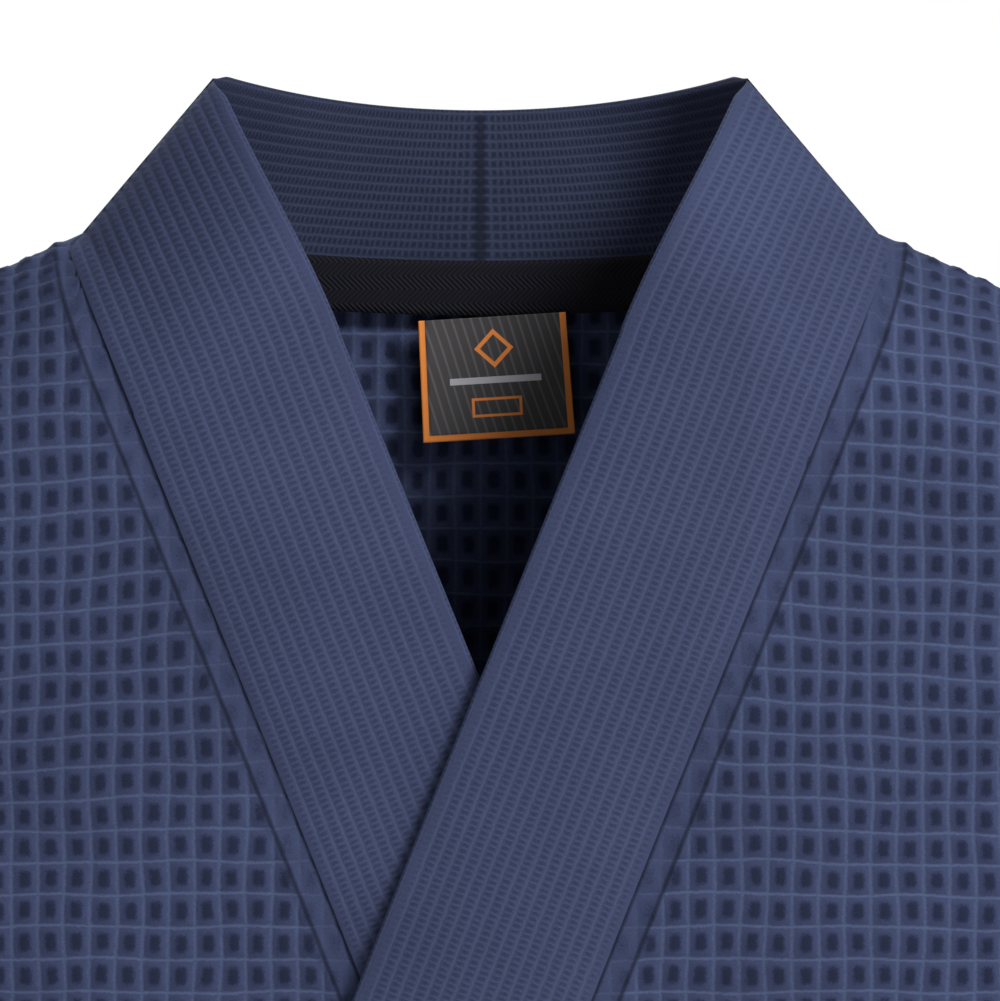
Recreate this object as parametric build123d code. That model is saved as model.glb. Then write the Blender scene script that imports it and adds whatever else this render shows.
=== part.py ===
"""Kimono-collar bathrobe in waffle cloth, hung open on a hanger, its belt threaded but not tied.

Millimetres, +Z up. The robe faces -Y and the wearer's left is +X. The origin is midway
between the two neck points, where a hanger's hook leaves the robe. Every panel follows one
rule: at (x, z) the cloth stands bulge() in front of or behind the plane y = 0.
"""
import math
import os

from build123d import *

# Silhouette of the wearer's left half, as (x, z)
PEAK = (88.0, 51.0)
NECK = (131.0, 0.0)
SHOULDER_END = (290.0, -71.0)
UNDERARM = (330.0, -318.0)
HEM_CORNER = (335.0, -1150.0)
SLEEVE_BEND = (317.0, -83.0)
CUFF_OUT = (564.0, -548.0)
CUFF_IN = (392.0, -640.0)

# Depths and thicknesses
BODY_DEPTH = 52.0
SLEEVE_DEPTH = 36.0
EDGE_ROUND = 60.0
EDGE_POWER = 0.7
CLOTH = 3.0
COLLAR_CLOTH = 5.0
COLLAR_RISE = 1.0
SEAM_GAP = 0.8
SIDE_GAP = 2.4

# Collar, overlap and fold line
COLLAR_WIDTH = 70.5
COLLAR_SLOPE = 0.411
COLLAR_OFFSET = 137.5
SEAM_X = -14.0
BACK_SEAM_Z = -11.0
BACK_EDGE_Z = 40.0
COLLAR_LEAN = 0.45
OVERLAP_X = 88.0
OVERLAP_LIFT = 9.0
FOLD_TOP = (137.0, -45.0)
FOLD_BOTTOM = (285.0, -1150.0)
FOLD_GAP = 4.0
COLLAR_SPLIT_Z = (-20.0, -28.0)
WING_TOP = -40.0

# Trim
CUFF_LENGTH = 75.0
CUFF_GAP = 1.2
SLEEVE_START = 0.06
POCKET = (86.0, 226.0, -930.0, -760.0)
POCKET_DEPTH = 13.0
POCKET_HEM = 25.0
POCKET_HEM_CLOTH = 1.5
BELT_WIDTH = 40.0
BELT_CLOTH = 3.0
BELT_STANDOFF = 6.2
BELT_Z = -430.0
BELT_TAIL = 560.0
BELT_PIVOT = (331.0, -44.0, -452.0)
BELT_TURN = 45.0
LOOP_HEIGHT = 64.0
LOOP_WIDTH = 10.0
LOOP_BAR = 2.0
LOOP_FOOT = 3.0
LOOP_STANDOFF = 8.0
TAPE_HALF = 112.0
TAPE_WIDTH = 18.0
TAPE_CLOTH = 1.0
TAPE_GAP = 1.5
LABEL = (50.0, 0.8, 42.0)
LABEL_TOP = (4.5, 44.0, -30.0)
LABEL_TILT = 3.5

FIT = 0.1


def lerp(a, b, f):
    return tuple(p + (q - p) * f for p, q in zip(a, b))


def ramp(value, low, high):
    """0 at low, 1 at high, smooth between."""
    f = min(max((value - low) / (high - low), 0.0), 1.0)
    return f * f * (3 - 2 * f)


def soft_max(a, b, blend):
    return (a + b + math.hypot(a - b, blend)) / 2


def sleeve_outer(f):
    """The sleeve's outer edge, a quadratic curve from the shoulder's end to the cuff."""
    return lerp(lerp(SHOULDER_END, SLEEVE_BEND, f), lerp(SLEEVE_BEND, CUFF_OUT, f), f)


def sleeve_inner(f):
    return lerp(UNDERARM, CUFF_IN, f)


def beyond(a, b):
    """A point well past b on the line from a, so that open ends have no rounded edge."""
    return lerp(a, b, 1.6)


OUTER_LINE = [PEAK, NECK, *[sleeve_outer(n / 8) for n in range(9)], beyond(SLEEVE_BEND, CUFF_OUT)]
INNER_LINE = [beyond(UNDERARM, CUFF_IN), UNDERARM, beyond(UNDERARM, HEM_CORNER)]


def segment_distance(p, a, b):
    along = (b[0] - a[0], b[1] - a[1])
    f = ((p[0] - a[0]) * along[0] + (p[1] - a[1]) * along[1]) / (along[0] ** 2 + along[1] ** 2)
    near = lerp(a, b, min(max(f, 0.0), 1.0))
    return math.hypot(p[0] - near[0], p[1] - near[1])


def edge_distance(x, z):
    """Distance from (x, z) to the nearest folded edge of the silhouette."""
    lines = [*zip(OUTER_LINE, OUTER_LINE[1:]), *zip(INNER_LINE, INNER_LINE[1:])]
    return min(segment_distance((abs(x), z), a, b) for a, b in lines)


def rounded(edge, full, inset):
    u = min(max((edge - inset) / (EDGE_ROUND - inset), 0.0), 1.0)
    return (full - inset) * (1 - (1 - u) ** 2) ** EDGE_POWER


def bulge(x, z, inset=0.0):
    """Half the robe's depth at (x, z), to a layer that lies inset inside the outer face."""
    side = 1.0 if abs(x) > UNDERARM[0] + 2 else ramp(z, -400, UNDERARM[1])
    full = BODY_DEPTH + (SLEEVE_DEPTH - BODY_DEPTH) * ramp(abs(x), 250, 332) * side
    return rounded(edge_distance(x, z), full, inset)


def fold_x(z):
    f = (z - FOLD_TOP[1]) / (FOLD_BOTTOM[1] - FOLD_TOP[1])
    return FOLD_TOP[0] + (FOLD_BOTTOM[0] - FOLD_TOP[0]) * f


def side_x(z):
    f = (z - UNDERARM[1]) / (HEM_CORNER[1] - UNDERARM[1])
    return UNDERARM[0] + (HEM_CORNER[0] - UNDERARM[0]) * f


def seam_x(z):
    """The collar seam: down the neckline, then straight down beside the centre front."""
    neckline = -soft_max(-(COLLAR_OFFSET + COLLAR_SLOPE * z), -NECK[0], 6)
    return soft_max(neckline, SEAM_X, 20)


def free_point(z):
    """The collar's free edge, square across from the seam point at height z."""
    slope = (seam_x(z + 1) - seam_x(z - 1)) / 2
    size = math.hypot(1, slope)
    square = (seam_x(z) - COLLAR_WIDTH / size, z + COLLAR_WIDTH * slope / size)
    crease = (seam_x(z) + PEAK[0] - NECK[0], z + PEAK[1] - NECK[1])
    return lerp(crease, square, ramp(-z, 0, 80))


def overlap_lift(x, z, outer):
    """How far the outer front stands clear of the front that it covers."""
    if not outer:
        return 0.0
    reach = (fold_x(z) - x) / (fold_x(z) - OVERLAP_X)
    return OVERLAP_LIFT * min(max(reach, 0.0), 1.0) * rounded(edge_distance(x, z), 1, 0)


def front_y(x, z, inset, outer):
    return -(bulge(x, z, inset) + SIDE_GAP + overlap_lift(x, z, outer))


def sheet(place, thickness, columns, rows):
    """The closed solid between place(s, t, 0) and place(s, t, thickness)."""
    def face(inset):
        grid = [[Vector(*place(s, t, inset)) for s in columns] for t in rows]
        return Face.make_surface_from_array_of_points(grid, tol=FIT, max_deg=3)

    outside, inside = face(0.0), face(thickness)
    pairs = zip(outside.edges(), inside.edges())
    walls = [Face.make_surface_from_curves(a, b) for a, b in pairs]
    return Solid(Shell([outside, inside, *walls]))


def even(count, low=0.0, high=1.0):
    return [low + (high - low) * n / count for n in range(count + 1)]


def eased(count, both=False):
    """Stations that crowd towards 0, or towards both ends."""
    if both:
        return [(1 - math.cos(math.pi * f)) / 2 for f in even(count)]
    return [f**2 for f in even(count)]


def shoulder_z(x):
    f = (abs(x) - NECK[0]) / (SHOULDER_END[0] - NECK[0])
    if f < 0:
        return BACK_SEAM_Z * (1 - (x / NECK[0]) ** 2)
    return SHOULDER_END[1] * f


def between_rows(top, middle, bottom, t):
    """A point at t down three rows: shoulder, underarm and hem."""
    if t < 0.4:
        return lerp(top, middle, t / 0.4)
    return lerp(middle, bottom, (t - 0.4) / 0.6)


TORSO_ROWS = [0.4 * f for f in eased(10)] + [0.407, 0.416, 0.426] + even(15, 0.44, 1.0)


def back_panel():
    def place(s, t, inset):
        top_x = (SHOULDER_END[0] - inset) * s
        neck = SEAM_GAP * ramp(-abs(top_x), -NECK[0] - 4, -NECK[0] + 6)
        top = (top_x, shoulder_z(top_x) - neck - inset * ramp(abs(top_x), 100, 160))
        middle = ((UNDERARM[0] - inset) * s, UNDERARM[1])
        bottom = ((HEM_CORNER[0] - inset) * s, HEM_CORNER[1])
        x, z = between_rows(top, middle, bottom, t)
        return x, bulge(x, z, inset) + SIDE_GAP, z

    columns = [2 * f - 1 for f in eased(24, both=True)]
    return sheet(place, CLOTH, columns, TORSO_ROWS)


def front_side():
    """The part of a front that stays with the shoulder and the side seam."""
    def place(s, t, inset):
        top_x = fold_x(-2) + FOLD_GAP + (SHOULDER_END[0] - inset - fold_x(-2) - FOLD_GAP) * s
        top = (top_x, shoulder_z(top_x) - inset)
        middle_x = fold_x(UNDERARM[1]) + FOLD_GAP
        middle = lerp((middle_x, UNDERARM[1]), (UNDERARM[0] - inset, UNDERARM[1]), s)
        bottom_x = FOLD_BOTTOM[0] + FOLD_GAP
        bottom = lerp((bottom_x, HEM_CORNER[1]), (HEM_CORNER[0] - inset, HEM_CORNER[1]), s)
        x, z = between_rows(top, middle, bottom, t)
        return x, front_y(x, z, inset, False), z

    return sheet(place, CLOTH, [1 - f for f in reversed(eased(14))], TORSO_ROWS)


def front_wing(outer):
    """The part of a front that swings open about the fold line."""
    def place(s, t, inset):
        z = WING_TOP + (HEM_CORNER[1] - WING_TOP) * t
        seam, fold = seam_x(z) + SEAM_GAP, fold_x(z) - FOLD_GAP
        x = seam + (fold - seam) * s
        return x, front_y(x, z, inset, outer), z

    return sheet(place, CLOTH, even(8), [f**1.5 for f in even(14)])


def collar_front(outer):
    def place(s, t, inset):
        z = COLLAR_SPLIT_Z[1] + (HEM_CORNER[1] - COLLAR_SPLIT_Z[1]) * t
        x, z = lerp((seam_x(z) - SEAM_GAP, z), free_point(z), s)
        return x, front_y(x, z, inset - 1, outer), z

    return sheet(place, COLLAR_CLOTH, even(4), [f**1.5 for f in even(22)])


def collar_neck():
    """Half of the collar behind the neck, turned over at the side and just into the front."""
    crease = Vector(PEAK[0] - NECK[0], PEAK[1] - NECK[1]).normalized()
    inward = (-crease.Y, crease.X)

    def place(s, t, inset):
        if s < 0:
            f = 1 + s
            rise = COLLAR_RISE * (1 - f**6)
            seam = (1 + (NECK[0] - 1) * f, BACK_SEAM_Z * (1 - f**2) + rise)
            edge = (1 + (PEAK[0] - 1) * f, BACK_EDGE_Z + (PEAK[1] - BACK_EDGE_Z) * f**2)
        else:
            z = COLLAR_SPLIT_Z[0] * s
            seam, edge = lerp(NECK, (seam_x(z), z), min(s * 4, 1)), free_point(z)
        x, z = lerp(seam, edge, t)
        shift = inset * (1 - min(abs(s) * 4, 1))
        x, z = x + inward[0] * shift, z + inward[1] * shift
        depth = bulge(x, z, inset)
        return x, depth * (1 + COLLAR_LEAN * t) if s < 0 else -depth, z

    columns = [-f for f in reversed(eased(12))] + eased(5)[1:]
    return sheet(place, COLLAR_CLOTH, columns, even(4))


def neck_tape():
    def place(s, t, inset):
        x = TAPE_HALF * s
        z = BACK_SEAM_Z * (1 - (x / NECK[0]) ** 2) - TAPE_WIDTH * t
        return x, bulge(x, z, CLOTH + TAPE_GAP + inset), z

    return sheet(place, TAPE_CLOTH, even(16, -1, 1), even(2))


def neck_label():
    label = Pos(0, 0, -LABEL[2] / 2) * Box(*LABEL)
    return Pos(*LABEL_TOP) * Rot(0, -LABEL_TILT, 0) * label


def sleeve_tube(start, end, thickness, out=0.0):
    """A sleeve is one cloth rolled round and closed by its underarm seam."""
    def place(s, t, inset):
        inner, outer = (edge(start + (end - start) * t) for edge in (sleeve_inner, sleeve_outer))
        inset -= out
        width = math.dist(inner, outer)
        across = (1 - math.cos(math.tau * s)) / 2
        x, z = lerp(inner, outer, (inset + (width - 2 * inset) * across) / width)
        edge = min(across, 1 - across) * (width - 2 * inset) + inset
        depth = rounded(edge, SLEEVE_DEPTH, inset) + SEAM_GAP
        return x, math.copysign(depth, s - 0.5), z

    front, back = even(16, 0.0, 0.4999), even(16, 0.5001, 1.0)
    return sheet(place, thickness, front + back, even(12))


def sleeve():
    return sleeve_tube(SLEEVE_START, 1.0, CLOTH)


def cuff():
    length = math.dist(SLEEVE_BEND, CUFF_OUT)
    return sleeve_tube(1 - CUFF_LENGTH / length, 1.0, CLOTH, CLOTH + CUFF_GAP)


def front_block(left, right, bottom, top, near, far, outer):
    """A block laid on a front, from near to far in front of the cloth's outer face."""
    def place(s, t, inset):
        x, z = left + (right - left) * s, bottom + (top - bottom) * t
        return x, front_y(x, z, 0, outer) - far + inset, z

    return sheet(place, far - near, even(6), even(6))


def pocket(outer):
    left, right, bottom, top = POCKET
    block = front_block(left, right, bottom, top, 0.5, POCKET_DEPTH, outer)
    pouch = front_block(left + CLOTH, right - CLOTH, bottom + CLOTH, top + 5,
                        -1, POCKET_DEPTH - CLOTH, outer)
    return block - pouch


def pocket_hem(outer):
    left, right, _, top = POCKET
    return front_block(left, right, top - POCKET_HEM, top,
                       POCKET_DEPTH + 0.3, POCKET_DEPTH + 0.3 + POCKET_HEM_CLOTH, outer)


def belt_loop():
    x = side_x(BELT_Z) + 0.5
    outside = Pos(x + LOOP_STANDOFF - LOOP_BAR / 2, 0, BELT_Z)
    bar = outside * Box(LOOP_BAR, LOOP_WIDTH, LOOP_HEIGHT)
    foot = Box(LOOP_STANDOFF, LOOP_WIDTH, LOOP_FOOT)
    reach = (LOOP_HEIGHT - LOOP_FOOT) / 2
    feet = [Pos(x + LOOP_STANDOFF / 2, 0, BELT_Z + side * reach) * foot for side in (-1, 1)]
    return bar + feet[0] + feet[1]


def belt_wrap():
    """The belt from one side seam to the other, behind the back."""
    def place(s, t, inset):
        out = BELT_STANDOFF - inset
        angle = math.radians(90 * s)
        x = (side_x(BELT_Z) + out) * math.sin(angle)
        depth = rounded(side_x(BELT_Z) - abs(x), BODY_DEPTH, -out)
        return x, math.copysign(depth, math.cos(angle)), BELT_Z + BELT_WIDTH * (t - 0.5)

    columns = even(12, -1.15, -0.8) + even(12, -0.75, 0.75) + even(12, 0.8, 1.15)
    return sheet(place, BELT_CLOTH, columns, even(2))


def belt_tail():
    strap = Pos(0, 0, -BELT_TAIL / 2) * Box(BELT_WIDTH, BELT_CLOTH, BELT_TAIL)
    return Pos(*BELT_PIVOT) * Rot(0, 0, BELT_TURN) * strap


def mirrored(shape):
    return shape.mirror(Plane.YZ)


def write(name, shape):
    export_step(shape, f"parts/{name}.step")


def main():
    os.makedirs("parts", exist_ok=True)
    write("back_panel", back_panel())
    write("neck_tape", neck_tape())
    write("neck_label", neck_label())
    write("belt_wrap", belt_wrap())
    paired = {
        "front_side": front_side,
        "collar_neck": collar_neck,
        "sleeve": sleeve,
        "cuff": cuff,
        "belt_loop": belt_loop,
        "belt_tail": belt_tail,
    }
    for name, make in paired.items():
        shape = make()
        write(f"left_{name}", shape)
        write(f"right_{name}", mirrored(shape))
    layered = {
        "front_wing": front_wing,
        "collar_front": collar_front,
        "pocket": pocket,
        "pocket_hem": pocket_hem,
    }
    for name, make in layered.items():
        write(f"left_{name}", make(outer=True))
        write(f"right_{name}", mirrored(make(outer=False)))


main()
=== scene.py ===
import math

import bpy
import numpy as np
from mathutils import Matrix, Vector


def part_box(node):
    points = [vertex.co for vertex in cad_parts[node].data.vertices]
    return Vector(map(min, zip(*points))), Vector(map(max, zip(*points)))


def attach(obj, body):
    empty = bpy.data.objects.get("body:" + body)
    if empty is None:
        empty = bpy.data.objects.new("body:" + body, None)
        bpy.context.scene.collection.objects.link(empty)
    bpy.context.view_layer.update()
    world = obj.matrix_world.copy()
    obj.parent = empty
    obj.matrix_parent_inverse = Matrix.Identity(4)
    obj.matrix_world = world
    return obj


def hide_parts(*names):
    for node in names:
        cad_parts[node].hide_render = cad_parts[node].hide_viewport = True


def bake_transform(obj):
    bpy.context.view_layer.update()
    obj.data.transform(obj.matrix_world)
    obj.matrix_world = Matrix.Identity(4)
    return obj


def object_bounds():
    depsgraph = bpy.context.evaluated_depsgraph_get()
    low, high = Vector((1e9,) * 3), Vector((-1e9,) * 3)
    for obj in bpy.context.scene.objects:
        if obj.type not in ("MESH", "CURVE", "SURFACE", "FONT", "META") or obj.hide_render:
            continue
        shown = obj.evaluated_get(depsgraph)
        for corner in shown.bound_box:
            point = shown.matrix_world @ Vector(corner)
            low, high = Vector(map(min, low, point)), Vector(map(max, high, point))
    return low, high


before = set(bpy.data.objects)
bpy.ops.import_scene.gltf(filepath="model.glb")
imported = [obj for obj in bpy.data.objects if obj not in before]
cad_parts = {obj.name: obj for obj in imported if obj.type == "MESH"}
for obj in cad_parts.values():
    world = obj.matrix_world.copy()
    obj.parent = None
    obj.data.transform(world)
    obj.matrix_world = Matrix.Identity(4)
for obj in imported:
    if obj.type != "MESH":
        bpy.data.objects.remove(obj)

CAD_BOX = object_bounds()
MM = 0.001

# ---------------------------------------------------------------- driving sizes, millimetres
# The silhouette of the wearer's left half as (x, z), the same rule as the CAD panels follow
PEAK = (88.0, 51.0)
NECK = (131.0, 0.0)
SHOULDER_END = (290.0, -71.0)
UNDERARM = (330.0, -318.0)
SLEEVE_BEND = (317.0, -83.0)
CUFF_OUT = (564.0, -548.0)
CUFF_IN = (392.0, -640.0)
HEM_CORNER = (335.0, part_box("back_panel")[0][2] / MM)

BODY_DEPTH = 52.0
SLEEVE_DEPTH = 36.0
EDGE_ROUND = 60.0
EDGE_POWER = 0.7
SEAM_GAP = 0.05

COLLAR_WIDTH = 70.5
COLLAR_SLOPE = 0.411
COLLAR_OFFSET = 137.5
SEAM_X = -14.0
BACK_SEAM_Z = -11.0
BACK_EDGE_Z = 40.0
COLLAR_LEAN = 0.45
OVERLAP_X = 88.0
OVERLAP_LIFT = 9.0
FOLD_TOP = (137.0, -45.0)
FOLD_BOTTOM = (285.0, -1150.0)

BODY_CELL = (8.5, 10.8)
COLLAR_CELL = (4.2, 2.0)
COLLAR_RIDGE = 0.46
WAFFLE_DEPTH = 2.1
COLLAR_WAFFLE = 0.45
BAND_WAFFLE = 0.9
TOPSTITCH = 8.5
STITCH_LENGTH, STITCH_GAP, STITCH_RADIUS = 2.4, 1.4, 0.3
HEM_STITCH = 24.0
SHOULDER_SLOPE = 0.9135
UNDERLAP = 4.0
COLLAR_STEP = 1.3
COLLAR_CROWN = 1.6
ROLL_RADIUS = 2.0
ROLL_ROWS = 5
CUFF_DEPTH = 75.0
LABEL_SIZE = (49.0, 40.5)
LABEL_BORDER = 2.2

# The weave is meshed finely above NEAR_TOP, and FAR means away from every sewn groove and its
# painted shade
NEAR_TOP = -275.0
FAR = 5.0


# ---------------------------------------------------------------- shape rules
def ramp(value, low, high):
    f = np.clip((value - low) / (high - low), 0.0, 1.0)
    return f * f * (3 - 2 * f)


def lerp(a, b, f):
    return tuple(p + (q - p) * f for p, q in zip(a, b))


def sleeve_outer(f):
    return lerp(lerp(SHOULDER_END, SLEEVE_BEND, f), lerp(SLEEVE_BEND, CUFF_OUT, f), f)


OUTER_LINE = [PEAK, NECK, *[sleeve_outer(n / 8) for n in range(9)],
              lerp(SLEEVE_BEND, CUFF_OUT, 1.6)]
INNER_LINE = [lerp(UNDERARM, CUFF_IN, 1.6), UNDERARM, lerp(UNDERARM, HEM_CORNER, 1.6)]


def segment_distance(x, z, a, b):
    dx, dz = b[0] - a[0], b[1] - a[1]
    f = np.clip(((x - a[0]) * dx + (z - a[1]) * dz) / (dx * dx + dz * dz), 0, 1)
    return np.hypot(x - a[0] - dx * f, z - a[1] - dz * f)


def edge_distance(x, z):
    pairs = [*zip(OUTER_LINE, OUTER_LINE[1:]), *zip(INNER_LINE, INNER_LINE[1:])]
    return np.minimum.reduce([segment_distance(np.abs(x), z, a, b) for a, b in pairs])


def rounded(edge, full, inset=0.0):
    u = np.clip((edge - inset) / (EDGE_ROUND - inset), 0, 1)
    return (full - inset) * (1 - (1 - u) ** 2) ** EDGE_POWER


def bulge(x, z):
    """How far the cloth stands off the middle plane: full inside, rounded off to the outline."""
    side = np.where(np.abs(x) > UNDERARM[0] + 2, 1.0, ramp(z, -400, UNDERARM[1]))
    full = BODY_DEPTH + (SLEEVE_DEPTH - BODY_DEPTH) * ramp(np.abs(x), 250, 332) * side
    return rounded(edge_distance(x, z), full)


def fold_x(z):
    f = (z - FOLD_TOP[1]) / (FOLD_BOTTOM[1] - FOLD_TOP[1])
    return FOLD_TOP[0] + (FOLD_BOTTOM[0] - FOLD_TOP[0]) * f


def side_x(z):
    """The body's right-hand limit: the armhole above the underarm, the side seam below."""
    up = (z - UNDERARM[1]) / (SHOULDER_END[1] - UNDERARM[1])
    down = (z - UNDERARM[1]) / (HEM_CORNER[1] - UNDERARM[1])
    return np.where(z > UNDERARM[1], UNDERARM[0] + (SHOULDER_END[0] - UNDERARM[0]) * up,
                    UNDERARM[0] + (HEM_CORNER[0] - UNDERARM[0]) * down)


def shoulder_z(x):
    f = (np.abs(x) - NECK[0]) / (SHOULDER_END[0] - NECK[0])
    return np.where(f < 0, BACK_SEAM_Z * (1 - (x / NECK[0]) ** 2), SHOULDER_END[1] * f)


def seam_x(z):
    line = -(COLLAR_OFFSET + COLLAR_SLOPE * z)
    neckline = -((line - NECK[0]) + np.hypot(line + NECK[0], 6)) / 2
    return (neckline + SEAM_X + np.hypot(neckline - SEAM_X, 20)) / 2


def drape(x, z, shift=0.0):
    """Soft upright folds that grow towards the hem, the same for both overlapped fronts."""
    grow = ramp(-z, 330, 1200) * rounded(edge_distance(x, z), 1.0)
    wave = np.sin((x + shift) / 47.0 + 0.6 + z / 900.0)
    wave = wave + 0.6 * np.sin((x + shift) / 26.0 - z / 700.0 + 1.9)
    return 5.5 * grow * wave


def ease(x, z, seed):
    """Slow hand-made unevenness, about a millimetre, that dies out at the outline's seams."""
    waves = 0.55 * np.sin(x / 31.0 + z / 53.0 + seed) + 0.5 * np.sin(z / 71.0 + 3 * seed)
    waves = waves + 0.45 * np.sin(x / 19.0 - z / 27.0 + 2 * seed)
    return waves * ramp(edge_distance(x, z), 0, 12)


def front_y(x, z, outer):
    """The fronts' surface; the outer one is lifted where it lies over the other."""
    reach = np.clip((fold_x(z) - x) / (fold_x(z) - OVERLAP_X), 0, 1)
    lift = OVERLAP_LIFT * reach * rounded(edge_distance(x, z), 1.0) if outer else 0.0
    signed = x if outer else -x
    return -(bulge(x, z) + SEAM_GAP + lift) + drape(signed, z) * ramp(-z, 200, 400)


# An edge that rolls back hides cloth: travel() turns length along the cloth into distance in view
_depth = np.linspace(0, EDGE_ROUND, 400)
_steps = np.hypot(np.diff(_depth), np.diff(rounded(_depth, BODY_DEPTH)))
_along = np.concatenate([[0], np.cumsum(_steps)])
HIDDEN = _along[-1] - EDGE_ROUND


def travel(length):
    return np.where(length < _along[-1], np.interp(length, _along, _depth), length - HIDDEN)


# ---------------------------------------------------------------- meshes
STEPS = {3: (0, 0.28, 0.72), 4: (0, 0.17, 0.5, 0.83), 6: (0, 0.1, 0.25, 0.5, 0.75, 0.9)}


def lines(low, high, cell, fine, coarse, fine_to):
    """Grid lines that crowd towards each ridge of the weave, more of them up to fine_to."""
    out, at = [], low
    while at < high - 1e-6:
        out += [at + cell * step for step in STEPS[fine if at < fine_to else coarse]]
        at += cell
    return np.array(out + [at])


def ridges(u, cell, width):
    phase = np.abs((u / cell + 0.5) % 1.0 - 0.5) * 2
    return np.exp(-((phase / width) ** 2))


def crown(share):
    """A band's soft thickness across its width: 0 at both edges and 1 between them."""
    return 1 - (2 * share - 1) ** 4


def fine_ridges(u):
    """The collar cloth's ridges, which run along the band."""
    return ridges(u, COLLAR_CELL[0], COLLAR_RIDGE)


def waffle(u, v, cell):
    """1 on the ridges of the weave and 0 in its pockets; the crosswise ridges stand higher."""
    across, along = 0.85 * ridges(u, cell[0], 0.46), ridges(v, cell[1], 0.30)
    return 1 - (1 - across) * (1 - along)


def wobble(u, v, seed, size):
    """Uneven yarns: each ridge wanders a little from its straight line."""
    a = np.sin(u / 5.3 + v / 17.0 + seed) * np.cos(v / 7.9 - u / 29.0 + 2 * seed)
    b = np.sin(u / 12.7 - v / 9.1 + 3 * seed) + np.sin(v / 23.0 + u / 41.0 + seed)
    return size * (0.45 * a + 0.4 * b)


def build(name, points, uv, relief, height, material, flip=False, weave=None, groove=None):
    """A mesh from a grid of points. Grid lines that were pressed together are merged, and
    relief times height pushes the cloth out along its normals."""
    rows, cols = points.shape[:2]
    flat = points.reshape(-1, 3)
    keys = np.round(flat * 200).astype(np.int64)
    _, first, inverse = np.unique(keys, axis=0, return_index=True, return_inverse=True)
    inverse = inverse.reshape(rows, cols)
    quads = np.stack([inverse[:-1, :-1], inverse[:-1, 1:], inverse[1:, 1:], inverse[1:, :-1]], -1)
    quads = quads.reshape(-1, 4)
    if flip:
        quads = quads[:, ::-1]
    co = flat[first]
    diag_a, diag_b = co[quads[:, 2]] - co[quads[:, 0]], co[quads[:, 3]] - co[quads[:, 1]]
    face_normal = np.cross(diag_a, diag_b)
    keep = np.linalg.norm(face_normal, axis=1) > 1e-4
    quads, face_normal = quads[keep], face_normal[keep]
    normals = np.zeros_like(co)
    for corner in range(4):
        np.add.at(normals, quads[:, corner], face_normal)
    size = np.linalg.norm(normals, axis=1, keepdims=True)
    normals = normals / np.maximum(size, 1e-9)
    level = relief.reshape(-1)[first]
    co = co + normals * ((level - 1.0) * height)[:, None]
    faces = []
    for quad in quads.tolist():
        corners = list(dict.fromkeys(quad))
        if len(corners) > 2:
            faces.append(corners)
    used = np.unique(np.concatenate([np.array(f) for f in faces]))
    remap = np.full(len(co), -1)
    remap[used] = np.arange(len(used))
    mesh = bpy.data.meshes.new(name)
    mesh.from_pydata((co[used] * MM).tolist(), [], [[int(remap[i]) for i in f] for f in faces])
    layer = mesh.uv_layers.new(name="cloth")
    loops = np.zeros(len(mesh.loops), int)
    mesh.loops.foreach_get("vertex_index", loops)
    pair = uv.reshape(-1, 2)[first][used] * MM
    layer.data.foreach_set("uv", pair[loops].astype(np.float32).reshape(-1))
    for key, field, plain in (("weave", weave, 1.0), ("groove", groove, FAR)):
        field = np.full(points.shape[:2], plain) if field is None else field
        value = mesh.attributes.new(key, "FLOAT", "POINT")
        value.data.foreach_set("value", field.reshape(-1)[first][used].astype(np.float32))
    mesh.shade_smooth()
    mesh.validate()
    piece = bpy.data.objects.new(name, mesh)
    bpy.context.collection.objects.link(piece)
    piece.data.materials.append(material)
    return piece


def mark(distance, width):
    """A groove's depth, 1 along its middle."""
    return np.exp(-((distance / width) ** 2))


def nearest(*distances):
    """The signed distance to the nearest of several grooves, for the shader's painted groove
    shade.
    """
    fields = np.stack(np.broadcast_arrays(*distances))
    pick = np.argmin(np.abs(fields), 0)
    return np.clip(np.take_along_axis(fields, pick[None], 0)[0], -FAR, FAR)


def stacked(x, y, z):
    return np.stack(np.broadcast_arrays(x, y, z), -1)


# ---------------------------------------------------------------- materials
def material(name, shader):
    mat = bpy.data.materials.new(name)
    mat.use_nodes = True
    tree = mat.node_tree
    tree.nodes.clear()
    out = tree.nodes.new("ShaderNodeOutputMaterial")
    bsdf = tree.nodes.new("ShaderNodeBsdfPrincipled")
    tree.links.new(bsdf.outputs["BSDF"], out.inputs["Surface"])
    shader(tree, bsdf)
    return mat


def node(tree, kind, inputs=None, **settings):
    made = tree.nodes.new(kind)
    for key, value in settings.items():
        setattr(made, key, value)
    for key, value in (inputs or {}).items():
        if hasattr(value, "is_output"):
            tree.links.new(value, made.inputs[key])
        else:
            made.inputs[key].default_value = value
    return made


def math_node(tree, operation, a, b=0.0, clamp=False):
    return node(tree, "ShaderNodeMath", {0: a, 1: b}, operation=operation,
                use_clamp=clamp).outputs[0]


def mix_color(tree, factor, a, b):
    made = node(tree, "ShaderNodeMix", data_type="RGBA")
    for index, value in ((0, factor), (6, a), (7, b)):
        if hasattr(value, "is_output"):
            tree.links.new(value, made.inputs[index])
        else:
            made.inputs[index].default_value = value
    return made.outputs[2]


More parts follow.
